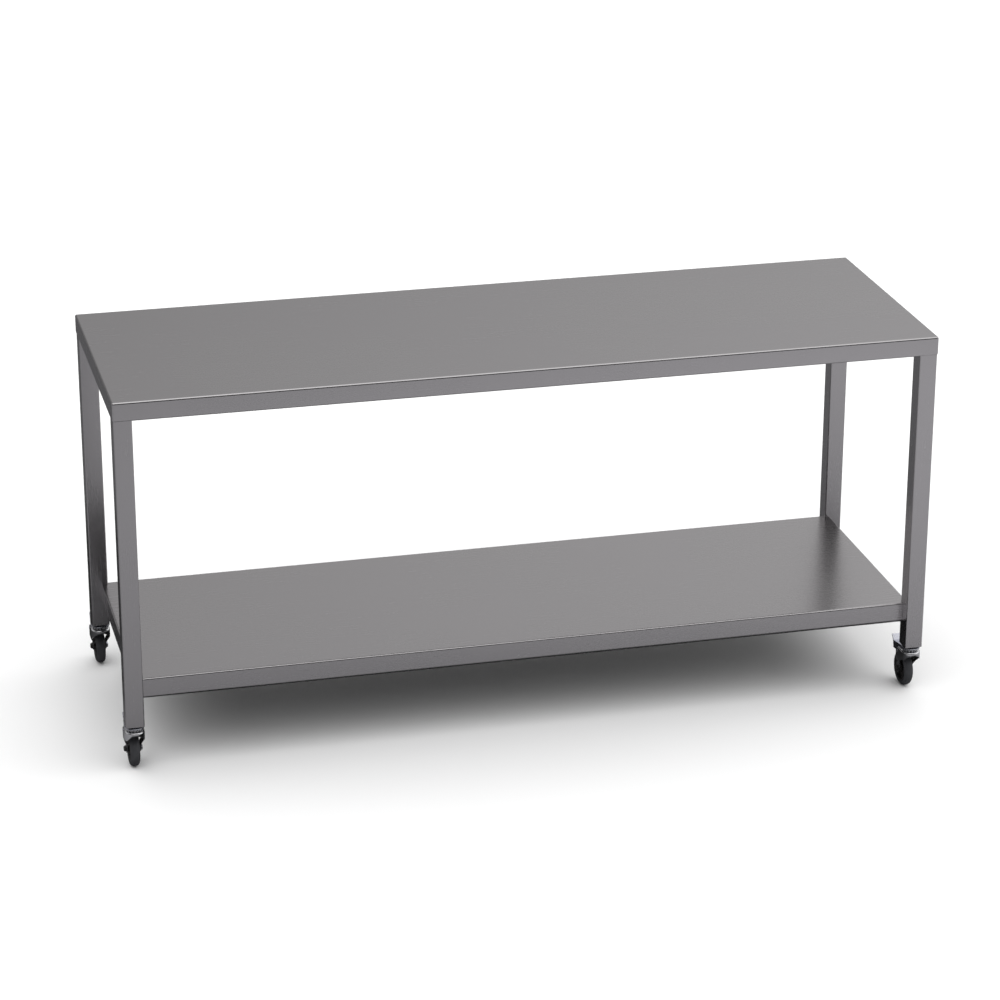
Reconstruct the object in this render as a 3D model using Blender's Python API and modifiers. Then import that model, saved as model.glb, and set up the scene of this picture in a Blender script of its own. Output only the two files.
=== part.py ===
"""Mobile stainless steel work table with an undershelf and four braked swivel casters.

Frame: metres, +Z up, +X along the table's length, -Y towards the person working at it.
The origin is on the floor, under the middle of the whole object's box, casters included.
The pieces are first placed about the middle of the worktop, then moved together.
"""
import math

import bmesh
import bpy
from mathutils import Matrix, Vector

# ---------------------------------------------------------------- driving dimensions
TABLE_LENGTH = 1.800
TABLE_DEPTH = 0.600
TABLE_HEIGHT = 0.847
GAP = 0.0003                    # clearance between pieces that rest on each other

SHEET = 0.0012                  # stainless sheet of the worktop and the shelf
FLANGE = 0.042                  # turned-down edge of the worktop
SHELF_FLANGE = 0.047            # turned-down edge of the shelf
BEND_RADIUS = 0.0030            # outer radius of the folded edges
TOP_LIP = 0.012                 # return lip under the worktop's flange
SHELF_LIP = 0.015               # return lip under the shelf's flange

LEG_WIDTH = 0.040
LEG_WALL = 0.0015
LEG_CORNER = 0.0025
INSERT_HEIGHT = 0.026           # plug inside the leg's lower end

SHELF_TOP = 0.212               # height of the shelf's surface
SHELF_SETBACK = 0.028           # shelf edge behind the worktop's edge

GUSSET_SIZE = 0.110
GUSSET_CHEEK = 0.045            # straight edges beside the gusset's slanted one
GUSSET_THICKNESS = 0.0025
CHANNEL_SHEET = 0.0015
CHANNEL_WIDTH = 0.070
CHANNEL_HEIGHT = 0.028
CHANNEL_BRIM = 0.018
CHANNEL_SLANT = 0.008           # how far each wall leans inwards
CHANNEL_SPREAD = 0.125          # top channels' distance from the middle line
CHANNEL_HALF_LENGTH = 0.740

CASTER_HEIGHT = 0.112           # floor to the leg's lower end
TRAIL = 0.035                   # axle behind the swivel axis
WHEEL_RADIUS = 0.040
WHEEL_SEGMENTS = 24
TYRE_WIDTH = 0.0215
TYRE_SHOULDER = 0.0085
TYRE_DEPTH = 0.0095
HUB_WIDTH = 0.0180
HUB_BOSS_WIDTH = 0.0256
HUB_WINDOWS = 5
HUB_BORE_BOSS = 0.0085          # radius of the boss round the axle
HUB_WEB = 0.0030                # half thickness of the web between boss and rim
HUB_RIM_INSIDE = 0.0262
WINDOW_OUTSIDE = 0.0238
WINDOW_INSIDE = 0.0125
AXLE_RADIUS = 0.0040
AXLE_Z = WHEEL_RADIUS * math.cos(math.pi / WHEEL_SEGMENTS)   # a flat of the tyre lies on the floor

STEM_RADIUS = 0.0058
STEM_REACH = 0.034              # stem's length inside the leg
STEM_NECK = 0.0105
RACEWAY_RADIUS = 0.0215
RACEWAY_TOP = 0.1080
RACEWAY_BOTTOM = 0.1052
RACEWAY_HUB = 0.0100            # radius of the boss under the raceway cap
KINGPIN_RADIUS = 0.0050
RIVET_RADIUS = 0.0080           # head of the kingpin under the fork
BALL_RING_INSIDE = 0.0106
BALL_RING_OUTSIDE = 0.0158      # centre of the ring's rounded side

FORK_SHEET = 0.0020
FORK_HALF_WIDTH = 0.0215        # outside of the fork's shoulders
FORK_FOOT_HALF_WIDTH = 0.0154   # outside of the fork at the axle
FORK_TOP = 0.0985
FORK_FRONT = -0.0215
FORK_REAR = 0.0330
FORK_CORNER = 0.0205            # nearly a half circle, seen from above
FORK_CROWN_RADIUS = 0.0035
FORK_EYE = 0.0095               # radius of the foot round the axle
FORK_JOGGLE_TOP = 0.070         # where the shoulders start to step inwards
FORK_JOGGLE_BOTTOM = 0.053
FORK_CHEEK_FRONT = 0.0790       # lowest point of the fork's front, at the ends of the arch
FORK_ARCH_RADIUS = 0.0197
FORK_ARCH_TOP = 0.0925

PIN_Y = 0.0260                  # brake pin behind the swivel axis
PIN_Z = 0.0885
PIN_RADIUS = 0.0025
PEDAL_SHEET = 0.0020
PEDAL_HALF_WIDTH = 0.0150
PEDAL_REACH = 0.0785            # pedal's tip behind the swivel axis
PEDAL_TRAVEL = 10.0             # degrees from released to braked
SHOE_HALF_WIDTH = 0.0080

HOLE_CLEARANCE = 0.0005         # round holes over their pins, as both are faceted

LEG_X = TABLE_LENGTH / 2 - SHEET - GAP - LEG_WIDTH / 2
LEG_Y = TABLE_DEPTH / 2 - SHEET - GAP - LEG_WIDTH / 2
LEG_TOP = TABLE_HEIGHT - SHEET - GUSSET_THICKNESS - 2 * GAP
BOX_MIDDLE_Y = (LEG_Y + PEDAL_REACH - TABLE_DEPTH / 2) / 2
CORNERS = {
    "front_left": (-1, -1),
    "front_right": (1, -1),
    "rear_left": (-1, 1),
    "rear_right": (1, 1),
}

# ---------------------------------------------------------------- scene and materials
for old_object in list(bpy.data.objects):
    bpy.data.objects.remove(old_object, do_unlink=True)

parts = bpy.data.collections.new("stainless_work_table")
cutters = bpy.data.collections.new("cutters")
bpy.context.scene.collection.children.link(parts)
bpy.context.scene.collection.children.link(cutters)


def make_material(name, color, roughness, metallic):
    material = bpy.data.materials.new(name)
    material.use_nodes = True
    shader = material.node_tree.nodes["Principled BSDF"]
    shader.inputs["Base Color"].default_value = (*color, 1.0)
    shader.inputs["Roughness"].default_value = roughness
    shader.inputs["Metallic"].default_value = metallic
    material.diffuse_color = (*color, 1.0)
    return material


STAINLESS = make_material("stainless", (0.60, 0.60, 0.61), 0.32, 1.0)
CHROME = make_material("chrome", (0.80, 0.80, 0.82), 0.10, 1.0)
ZINC = make_material("zinc", (0.68, 0.69, 0.74), 0.28, 1.0)
STEEL = make_material("steel", (0.45, 0.45, 0.46), 0.40, 1.0)
RUBBER = make_material("rubber", (0.035, 0.036, 0.040), 0.60, 0.0)
BLACK_PLASTIC = make_material("black_plastic", (0.015, 0.015, 0.016), 0.40, 0.0)
GREY_PLASTIC = make_material("grey_plastic", (0.10, 0.10, 0.11), 0.55, 0.0)


# ---------------------------------------------------------------- shape helpers
def add_part(name, mesh, material, location=(0.0, 0.0, 0.0), parent=None):
    """A named node of the table."""
    node = bpy.data.objects.new(name, mesh)
    node.location = location
    node.parent = parent
    if not mesh.materials:
        mesh.materials.append(material)
    parts.objects.link(node)
    return node


def add_cutter(mesh, location=(0.0, 0.0, 0.0), parent=None):
    """A shape that only cuts or joins others."""
    cutter = bpy.data.objects.new("cutter", mesh)
    cutter.location = location
    cutter.parent = parent
    cutter.hide_render = True
    cutter.display_type = "WIRE"
    cutters.objects.link(cutter)
    return cutter


def add_pivot(name, location, parent=None):
    """An empty on a joint's axis."""
    pivot = bpy.data.objects.new(name, None)
    pivot.location = location
    pivot.parent = parent
    pivot.empty_display_size = 0.02
    parts.objects.link(pivot)
    return pivot


def finish_mesh(name, shape):
    mesh = bpy.data.meshes.new(name)
    bmesh.ops.recalc_face_normals(shape, faces=shape.faces)
    shape.to_mesh(mesh)
    shape.free()
    return mesh


def smooth(mesh, degrees=35.0):
    mesh.shade_smooth()
    mesh.set_sharp_from_angle(angle=math.radians(degrees))


def box_mesh(low, high, upright_radius=0.0):
    """A box between two corners, with its upright edges rounded if asked."""
    low, high = Vector(low), Vector(high)
    shape = bmesh.new()
    bmesh.ops.create_cube(shape, size=1.0)
    bmesh.ops.scale(shape, vec=high - low, verts=shape.verts)
    bmesh.ops.translate(shape, vec=(high + low) / 2, verts=shape.verts)
    if upright_radius:
        upright = [edge for edge in shape.edges if is_upright(edge)]
        bmesh.ops.bevel(shape, geom=upright, offset=upright_radius, segments=3,
                        profile=0.5, affect="EDGES")
    return finish_mesh("box", shape)


def is_upright(edge):
    rise = edge.verts[0].co - edge.verts[1].co
    return abs(rise.z) > 0.9 * rise.length


def rod_mesh(radius, start, end, segments):
    """A cylinder along X, between two x positions."""
    shape = bmesh.new()
    turn = Matrix.Rotation(math.radians(90), 4, "Y")
    middle = Matrix.Translation(((start + end) / 2, 0.0, 0.0))
    bmesh.ops.create_cone(shape, cap_ends=True, segments=segments, radius1=radius,
                          radius2=radius, depth=end - start, matrix=middle @ turn)
    return finish_mesh("rod", shape)


def upright_rod_mesh(radius, low, high, segments):
    """A cylinder along Z, between two heights."""
    shape = bmesh.new()
    bmesh.ops.create_cone(shape, cap_ends=True, segments=segments, radius1=radius,
                          radius2=radius, depth=high - low,
                          matrix=Matrix.Translation((0.0, 0.0, (low + high) / 2)))
    return finish_mesh("upright_rod", shape)


def outline_mesh(points, thickness, transform=Matrix()):
    """A flat outline in XY with a thickness along Z, then moved by transform."""
    curve = bpy.data.curves.new("outline", "CURVE")
    curve.dimensions = "2D"
    curve.fill_mode = "BOTH"
    curve.extrude = thickness / 2
    spline = curve.splines.new("POLY")
    spline.points.add(len(points) - 1)
    for point, (x, y) in zip(spline.points, points):
        point.co = (x, y, 0.0, 1.0)
    spline.use_cyclic_u = True
    carrier = bpy.data.objects.new("outline", curve)
    cutters.objects.link(carrier)
    mesh = bpy.data.meshes.new_from_object(carrier.evaluated_get(bpy.context.evaluated_depsgraph_get()))
    bpy.data.objects.remove(carrier, do_unlink=True)
    bpy.data.curves.remove(curve)
    shape = bmesh.new()
    shape.from_mesh(mesh)
    bpy.data.meshes.remove(mesh)
    bmesh.ops.remove_doubles(shape, verts=shape.verts, dist=1e-6)
    bmesh.ops.transform(shape, matrix=transform, verts=shape.verts)
    return finish_mesh("outline", shape)


def side_outline_mesh(points, half_width):
    """An outline given as (y, z) points, with its thickness along X."""
    yz_plane = Matrix(((0, 0, 1, 0), (1, 0, 0, 0), (0, 1, 0, 0), (0, 0, 0, 1)))
    return outline_mesh(points, 2 * half_width, yz_plane)


def arc(center, radius, start, end, steps):
    """Points on an arc from one angle to another, in degrees."""
    angles = [math.radians(start + (end - start) * i / steps) for i in range(steps + 1)]
    return [(center[0] + radius * math.cos(a), center[1] + radius * math.sin(a)) for a in angles]


def turned_mesh(name, profile, closed):
    """Edges of a (radius, height) profile for the Screw modifier."""
    shape = bmesh.new()
    ring = [shape.verts.new((radius, 0.0, height)) for radius, height in profile]
    for first, second in zip(ring, ring[1:]):
        shape.edges.new((first, second))
    if closed:
        shape.edges.new((ring[-1], ring[0]))
    mesh = bpy.data.meshes.new(name)
    shape.to_mesh(mesh)
    shape.free()
    return mesh


def add_turned(name, profile, segments, material, location, parent, closed=False, along_x=False):
    """A piece turned about Z, or about X with a flat facing down."""
    node = add_part(name, turned_mesh(name, profile, closed), material, location, parent)
    if along_x:
        node.rotation_mode = "ZYX"
        node.rotation_euler = (0.0, math.radians(90), math.pi / segments)
    screw = node.modifiers.new("turn", "SCREW")
    screw.axis = "Z"
    screw.steps = segments
    screw.render_steps = segments
    screw.use_merge_vertices = True
    screw.merge_threshold = 0.00001
    screw.use_smooth_shade = True
    return node


def cut(node, cutter, operation="DIFFERENCE"):
    boolean = node.modifiers.new("cut", "BOOLEAN")
    boolean.object = cutter
    boolean.operation = operation
    boolean.solver = "EXACT"


def solidify(node, thickness):
    shell = node.modifiers.new("sheet", "SOLIDIFY")
    shell.thickness = thickness
    shell.offset = -1.0
    shell.use_even_offset = True


# ---------------------------------------------------------------- table pieces
def pan_mesh(half_length, half_depth, bottom, top, lip):
    """The outer skin of a folded pan: a top, four turned-down edges and a return lip."""
    shape = bmesh.new()
    bmesh.ops.create_cube(shape, size=2.0)
    bmesh.ops.scale(shape, vec=(half_length, half_depth, (top - bottom) / 2), verts=shape.verts)
    bmesh.ops.translate(shape, vec=(0.0, 0.0, (top + bottom) / 2), verts=shape.verts)
    floor = [face for face in shape.faces if face.normal.z < -0.9]
    folds = list(shape.edges)
    bmesh.ops.inset_region(shape, faces=floor, thickness=lip, use_even_offset=True)
    bmesh.ops.delete(shape, geom=floor, context="FACES")
    bmesh.ops.bevel(shape, geom=folds, offset=BEND_RADIUS, segments=3, profile=0.5, affect="EDGES")
    mesh = finish_mesh("pan", shape)
    smooth(mesh)
    return mesh


def leg_spaces(low, high):
    """The four legs' outlines, to cut a pan's corners in one go.

    Their clearance is a little less than the gap, so that no cut lies on the sheet's own face.
    """
    reach = LEG_WIDTH / 2 + GAP * 0.8
    shape = bmesh.new()
    for x_side, y_side in CORNERS.values():
        x, y = x_side * LEG_X, y_side * LEG_Y
        shape.from_mesh(box_mesh((x - reach, y - reach, low), (x + reach, y + reach, high)))
    return add_cutter(finish_mesh("leg_spaces", shape))


def add_worktop():
    bottom = TABLE_HEIGHT - FLANGE
    mesh = pan_mesh(TABLE_LENGTH / 2, TABLE_DEPTH / 2, bottom, TABLE_HEIGHT, TOP_LIP)
    worktop = add_part("worktop", mesh, STAINLESS)
    solidify(worktop, SHEET)
    cut(worktop, leg_spaces(bottom - 0.002, bottom + 0.006))


def add_undershelf():
    half_length = TABLE_LENGTH / 2 - SHELF_SETBACK
    half_depth = TABLE_DEPTH / 2 - SHELF_SETBACK
    bottom = SHELF_TOP - SHELF_FLANGE
    mesh = pan_mesh(half_length, half_depth, bottom, SHELF_TOP, SHELF_LIP)
    undershelf = add_part("undershelf", mesh, STAINLESS)
    solidify(undershelf, SHEET)
    cut(undershelf, leg_spaces(bottom - 0.01, SHELF_TOP + 0.01))


def add_hat_channel(name, y, top):
    """A stiffening channel whose two brims lie under a sheet."""
    half = CHANNEL_WIDTH / 2
    section = [(-half - CHANNEL_BRIM, 0.0), (-half, 0.0),
               (-half + CHANNEL_SLANT, -CHANNEL_HEIGHT), (half - CHANNEL_SLANT, -CHANNEL_HEIGHT),
               (half, 0.0), (half + CHANNEL_BRIM, 0.0)]
    shape = bmesh.new()
    line = [shape.verts.new((-CHANNEL_HALF_LENGTH, width, height)) for width, height in section]
    edges = [shape.edges.new(pair) for pair in zip(line, line[1:])]
    swept = bmesh.ops.extrude_edge_only(shape, edges=edges)
    ends = [item for item in swept["geom"] if isinstance(item, bmesh.types.BMVert)]
    bmesh.ops.translate(shape, vec=(2 * CHANNEL_HALF_LENGTH, 0.0, 0.0), verts=ends)
    mesh = bpy.data.meshes.new(name)
    bmesh.ops.recalc_face_normals(shape, faces=shape.faces)
    if sum(face.normal.z for face in shape.faces) < 0:
        bmesh.ops.reverse_faces(shape, faces=shape.faces)
    shape.to_mesh(mesh)
    shape.free()
    channel = add_part(name, mesh, STAINLESS, (0.0, y, top))
    solidify(channel, CHANNEL_SHEET)


def add_leg(name, x_side, y_side):
    half = LEG_WIDTH / 2
    shape = bmesh.new()
    shape.from_mesh(box_mesh((-half, -half, CASTER_HEIGHT), (half, half, LEG_TOP), LEG_CORNER))
    ends = [face for face in shape.faces if abs(face.normal.z) > 0.9]
    bmesh.ops.delete(shape, geom=ends, context="FACES")
    mesh = finish_mesh("leg", shape)
    smooth(mesh)
    leg = add_part("leg_" + name, mesh, STAINLESS, (x_side * LEG_X, y_side * LEG_Y, 0.0))
    solidify(leg, LEG_WALL)


def add_corner_gusset(name, x_side, y_side):
    """A flat plate under the worktop's corner, on top of the leg."""
    edge = BEND_RADIUS + GAP
    points = [(edge, edge), (GUSSET_SIZE, edge), (GUSSET_SIZE, GUSSET_CHEEK),
              (GUSSET_CHEEK, GUSSET_SIZE), (edge, GUSSET_SIZE)]
    corner = Vector((TABLE_LENGTH / 2, TABLE_DEPTH / 2))
    placed = [(x_side * (corner.x - x), y_side * (corner.y - y)) for x, y in points]
    mesh = outline_mesh(placed, GUSSET_THICKNESS)
    height = TABLE_HEIGHT - SHEET - GAP - GUSSET_THICKNESS / 2
    add_part("corner_gusset_" + name, mesh, STEEL, (0.0, 0.0, height))


def add_leg_insert(name, x_side, y_side):
    """The plug in the leg's lower end that takes the caster's stem."""
    half = LEG_WIDTH / 2 - LEG_WALL - GAP
    top = CASTER_HEIGHT + INSERT_HEIGHT
    mesh = box_mesh((-half, -half, CASTER_HEIGHT), (half, half, top), LEG_CORNER - LEG_WALL)
    insert = add_part("leg_insert_" + name, mesh, GREY_PLASTIC, (x_side * LEG_X, y_side * LEG_Y, 0.0))
    bore = upright_rod_mesh(STEM_RADIUS + HOLE_CLEARANCE, CASTER_HEIGHT - 0.01, top + 0.01, 20)
    cut(insert, add_cutter(bore, insert.location))


# ---------------------------------------------------------------- caster pieces
def add_stem(name, post):
    """Threaded stem, neck, raceway cap and riveted kingpin, turned as one piece."""
    crown_bottom = FORK_TOP - FORK_SHEET
    rivet_bottom = crown_bottom - 0.0032
    profile = [
        (0.0, CASTER_HEIGHT + STEM_REACH),
        (STEM_RADIUS - 0.001, CASTER_HEIGHT + STEM_REACH),
        (STEM_RADIUS, CASTER_HEIGHT + STEM_REACH - 0.001),
        (STEM_RADIUS, CASTER_HEIGHT - GAP),
        (STEM_NECK, CASTER_HEIGHT - GAP),
        (STEM_NECK, RACEWAY_TOP),
        (RACEWAY_RADIUS - 0.0010, RACEWAY_TOP),
        (RACEWAY_RADIUS, RACEWAY_TOP - 0.0010),
        (RACEWAY_RADIUS, RACEWAY_BOTTOM),
        (RACEWAY_HUB, RACEWAY_BOTTOM),
        (RACEWAY_HUB, FORK_TOP + GAP),
        (KINGPIN_RADIUS, FORK_TOP + GAP),
        (KINGPIN_RADIUS, crown_bottom - GAP),
        (RIVET_RADIUS, crown_bottom - GAP),
        (RIVET_RADIUS, crown_bottom - 0.0015),
        (KINGPIN_RADIUS, rivet_bottom),
        (0.0, rivet_bottom),
    ]
    add_turned("caster_stem_" + name, profile, 16, ZINC, post, None)


def add_ball_race(name, swivel):
    middle = (RACEWAY_BOTTOM + FORK_TOP) / 2
    half_height = (RACEWAY_BOTTOM - FORK_TOP) / 2 - GAP
    outer = arc((BALL_RING_OUTSIDE, middle), half_height, 90, -90, 4)
    inner = [(BALL_RING_INSIDE, middle - half_height), (BALL_RING_INSIDE, middle + half_height)]
    add_turned("ball_race_" + name, outer + inner, 16, STEEL, (0, 0, 0), swivel, closed=True)


def fork_outside(height):
    """Half the fork's outer width at a height: wide shoulders, narrow feet."""
    share = (FORK_JOGGLE_TOP - height) / (FORK_JOGGLE_TOP - FORK_JOGGLE_BOTTOM)
    share = min(1.0, max(0.0, share))
    return FORK_HALF_WIDTH + (FORK_FOOT_HALF_WIDTH - FORK_HALF_WIDTH) * share


def fork_hood_mesh():
    """The outer skin of the pressed fork: crown, rounded front and two side walls."""
    rear = TRAIL + 0.015            # both are trimmed later
    bottom = AXLE_Z - 0.014
    shape = bmesh.new()
    shape.from_mesh(box_mesh((-FORK_HALF_WIDTH, FORK_FRONT, bottom), (FORK_HALF_WIDTH, rear, FORK_TOP)))
    front_edges = [edge for edge in shape.edges
                   if is_upright(edge) and edge.verts[0].co.y < 0]
    bmesh.ops.bevel(shape, geom=front_edges, offset=FORK_CORNER, segments=6, profile=0.5, affect="EDGES")
    crown_edges = [edge for edge in shape.edges
                   if all(vert.co.z > FORK_TOP - 1e-5 for vert in edge.verts)
                   and any(vert.co.y < rear - 1e-5 for vert in edge.verts)]
    bmesh.ops.bevel(shape, geom=crown_edges, offset=FORK_CROWN_RADIUS, segments=2, profile=0.5,
                    affect="EDGES")
    open_faces = [face for face in shape.faces if face.normal.z < -0.9 or face.normal.y > 0.9]
    bmesh.ops.delete(shape, geom=open_faces, context="FACES")
    for height in (FORK_JOGGLE_TOP, FORK_JOGGLE_BOTTOM):
        bmesh.ops.bisect_plane(shape, geom=shape.verts[:] + shape.edges[:] + shape.faces[:],
                               plane_co=(0, 0, height), plane_no=(0, 0, 1))
    for vert in shape.verts:
        vert.co.x *= fork_outside(vert.co.z) / FORK_HALF_WIDTH
    mesh = finish_mesh("fork", shape)
    smooth(mesh)
    return mesh


def fork_side_points():
    """The fork seen from the side, as (y, z): shoulders above, an eye round the axle below."""
    return ([(0.0190, FORK_TOP + 0.002), (FORK_FRONT - 0.002, FORK_TOP + 0.002),
             (FORK_FRONT - 0.002, FORK_CHEEK_FRONT), (-0.0110, FORK_CHEEK_FRONT), (0.0, 0.0750)]
            + arc((TRAIL, AXLE_Z), FORK_EYE, 190, 350, 7)
            + [(FORK_REAR, 0.0680), (FORK_REAR - 0.0010, 0.0915), (FORK_REAR - 0.0040, 0.0945)])


def add_fork(name, swivel):
    fork = add_part("fork_" + name, fork_hood_mesh(), CHROME, (0, 0, 0), swivel)
    solidify(fork, FORK_SHEET)
    cut(fork, add_cutter(side_outline_mesh(fork_side_points(), 0.03), (0, 0, 0), swivel), "INTERSECT")
    arch = arc((0.0, FORK_ARCH_TOP - FORK_ARCH_RADIUS), FORK_ARCH_RADIUS, 0, 360, 24)[:-1]
    to_front = Matrix(((1, 0, 0, 0), (0, 0, 1, -0.015), (0, 1, 0, 0), (0, 0, 0, 1)))
    cut(fork, add_cutter(outline_mesh(arch, 0.026, to_front), (0, 0, 0), swivel))
    slot = box_mesh((-0.0165, 0.0185, 0.0905), (0.0165, 0.0600, 0.1050))
    cut(fork, add_cutter(slot, (0, 0, 0), swivel))
    kingpin = upright_rod_mesh(KINGPIN_RADIUS + HOLE_CLEARANCE, 0.09, 0.11, 20)
    cut(fork, add_cutter(kingpin, (0, 0, 0), swivel))
    axle = rod_mesh(AXLE_RADIUS + HOLE_CLEARANCE, -0.03, 0.03, 16)
    cut(fork, add_cutter(axle, (0.0, TRAIL, AXLE_Z), swivel))
    pin = rod_mesh(PIN_RADIUS + HOLE_CLEARANCE, -0.03, 0.03, 12)
    cut(fork, add_cutter(pin, (0.0, PIN_Y, PIN_Z), swivel))


def add_axle(name, swivel):
    """Bolt through the fork's feet and the wheel, with its domed head on the right."""
    outside = FORK_FOOT_HALF_WIDTH + GAP
    profile = [
        (0.0, outside + 0.0040), (0.0040, outside + 0.0036), (0.0062, outside + 0.0020),
        (0.0065, outside), (AXLE_RADIUS, outside), (AXLE_RADIUS, -outside - 0.0030),
        (0.0, -outside - 0.0030),
    ]
    add_turned("axle_bolt_" + name, profile, 12, ZINC, (0.0, TRAIL, AXLE_Z), swivel, along_x=True)


def add_axle_cap(name, swivel):
    """Black cap nut on the bolt's left end."""
    face = -FORK_FOOT_HALF_WIDTH - GAP
    bore = AXLE_RADIUS + HOLE_CLEARANCE
    profile = [
        (0.0, face - 0.0034), (bore, face - 0.0034), (bore, face), (0.0070, face),
        (0.0070, face - 0.0030), (0.0058, face - 0.0046), (0.0, face - 0.0052),
    ]
    add_turned("axle_cap_" + name, profile, 12, BLACK_PLASTIC, (0.0, TRAIL, AXLE_Z), swivel, along_x=True)


def add_brake_pin(name, swivel):
    outside = FORK_HALF_WIDTH + GAP
    profile = [
        (0.0, outside + 0.0012), (0.0036, outside + 0.0010), (0.0040, outside),
        (PIN_RADIUS, outside), (PIN_RADIUS, -outside - 0.0008), (0.0, -outside - 0.0008),
    ]
    add_turned("brake_pin_" + name, profile, 10, ZINC, (0.0, PIN_Y, PIN_Z), swivel, along_x=True)


def add_wheel(name, spin):
    """Moulded hub with windows between its spokes, and a solid tyre round it."""
    bore = AXLE_RADIUS + HOLE_CLEARANCE
    rim_outside = WHEEL_RADIUS - TYRE_DEPTH - GAP
    half, boss_half = HUB_WIDTH / 2, HUB_BOSS_WIDTH / 2
    upper = [(bore, boss_half), (HUB_BORE_BOSS, boss_half), (HUB_BORE_BOSS, HUB_WEB),
             (HUB_RIM_INSIDE, HUB_WEB), (HUB_RIM_INSIDE + 0.001, half), (rim_outside, half)]
    lower = [(radius, -height) for radius, height in reversed(upper)]
    hub = add_turned("wheel_hub_" + name, upper + lower, WHEEL_SEGMENTS, BLACK_PLASTIC,
                     (0, 0, 0), spin, closed=True, along_x=True)
    window = arc((0.0, 0.0), WINDOW_OUTSIDE, -22, 22, 3) + arc((0.0, 0.0), WINDOW_INSIDE, 16, -16, 1)
    across = Matrix.Rotation(math.radians(90), 4, "Y")
    for index in range(HUB_WINDOWS):
        turn = across @ Matrix.Rotation(2 * math.pi * index / HUB_WINDOWS, 4, "Z")
        cut(hub, add_cutter(outline_mesh(window, 4 * HUB_WEB, turn), (0, 0, 0), spin))
    side = TYRE_WIDTH / 2
    shoulder = arc((WHEEL_RADIUS - TYRE_SHOULDER, side - TYRE_SHOULDER), TYRE_SHOULDER, 90, 0, 2)
    bead = WHEEL_RADIUS - TYRE_DEPTH
    upper = [(bead, half), (bead + 0.0015, side - 0.0008)] + shoulder
    lower = [(radius, -height) for radius, height in reversed(upper)]
    add_turned("tyre_" + name, upper + lower, WHEEL_SEGMENTS, RUBBER, (0, 0, 0), spin,
               closed=True, along_x=True)


def add_brake(name, pivot):
    """Pressed pedal over the tyre, with a shoe under it; both turn on the brake pin."""
    def local(points):
        return [(y - PIN_Y, z - PIN_Z) for y, z in points]

    side = [(0.0205, 0.1035), (0.0205, 0.0835), (0.0300, 0.0810), (0.0655, 0.0785), (0.0680, 0.0930),
            (PEDAL_REACH, 0.1050), (PEDAL_REACH - 0.0015, 0.1063), (0.0655, 0.0955)]
    inside = [(0.0190, 0.1012), (0.0190, 0.0700), (0.0700, 0.0700), (0.0700, 0.0920),
              (0.0655, 0.0932)]
    pedal_mesh = side_outline_mesh(local(side), PEDAL_HALF_WIDTH)
    pedal = add_part("brake_pedal_" + name, pedal_mesh, ZINC, (0, 0, 0), pivot)
    hollow = side_outline_mesh(local(inside), PEDAL_HALF_WIDTH - PEDAL_SHEET)
    cut(pedal, add_cutter(hollow, (0, 0, 0), pivot))
    cut(pedal, add_cutter(rod_mesh(PIN_RADIUS + HOLE_CLEARANCE, -0.03, 0.03, 12), (0, 0, 0), pivot))

    block = [(0.0440, 0.0770), (0.0620, 0.0740), (0.0620, 0.0935), (0.0440, 0.0962)]
    shoe_mesh = side_outline_mesh(local(block), SHOE_HALF_WIDTH)
    shoe = add_part("brake_shoe_" + name, shoe_mesh, GREY_PLASTIC, (0, 0, 0), pivot)
    braked = Matrix.Rotation(math.radians(PEDAL_TRAVEL), 3, "X")
    axle = braked @ Vector((0.0, TRAIL - PIN_Y, AXLE_Z - PIN_Z))
    cut(shoe, add_cutter(rod_mesh(WHEEL_RADIUS + GAP, -0.03, 0.03, 64), axle, pivot))


def add_caster(name, x_side, y_side):
    post = (x_side * LEG_X, y_side * LEG_Y, 0.0)
    add_stem(name, post)
    swivel = add_pivot("swivel_axis_" + name, post)
    add_ball_race(name, swivel)
    add_fork(name, swivel)
    add_axle(name, swivel)
    add_axle_cap(name, swivel)
    add_brake_pin(name, swivel)
    add_wheel(name, add_pivot("wheel_axis_" + name, (0.0, TRAIL, AXLE_Z), swivel))
    add_brake(name, add_pivot("brake_axis_" + name, (0.0, PIN_Y, PIN_Z), swivel))


# ---------------------------------------------------------------- assembly
add_worktop()
add_undershelf()
channel_top = TABLE_HEIGHT - SHEET - GAP
add_hat_channel("top_channel_front", -CHANNEL_SPREAD, channel_top)
add_hat_channel("top_channel_rear", CHANNEL_SPREAD, channel_top)
add_hat_channel("shelf_channel", 0.0, SHELF_TOP - SHEET - GAP)
for corner_name, (side_x, side_y) in CORNERS.items():
    add_corner_gusset(corner_name, side_x, side_y)
    add_leg(corner_name, side_x, side_y)
    add_leg_insert(corner_name, side_x, side_y)
    add_caster(corner_name, side_x, side_y)

for item in [*parts.objects, *cutters.objects]:
    if item.parent is None:
        item.location.y -= BOX_MIDDLE_Y
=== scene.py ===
"""Looks of the mobile stainless steel work table.

Each CAD node gets either a finer piece that stands for it or a copy with rounded edges.
The four casters are alike, so their pieces are shaped once, in a frame whose origin is on
the floor under the swivel axis, and placed at the four corners.
"""

import math

import bmesh
import bpy
from mathutils import Matrix, Vector


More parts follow.
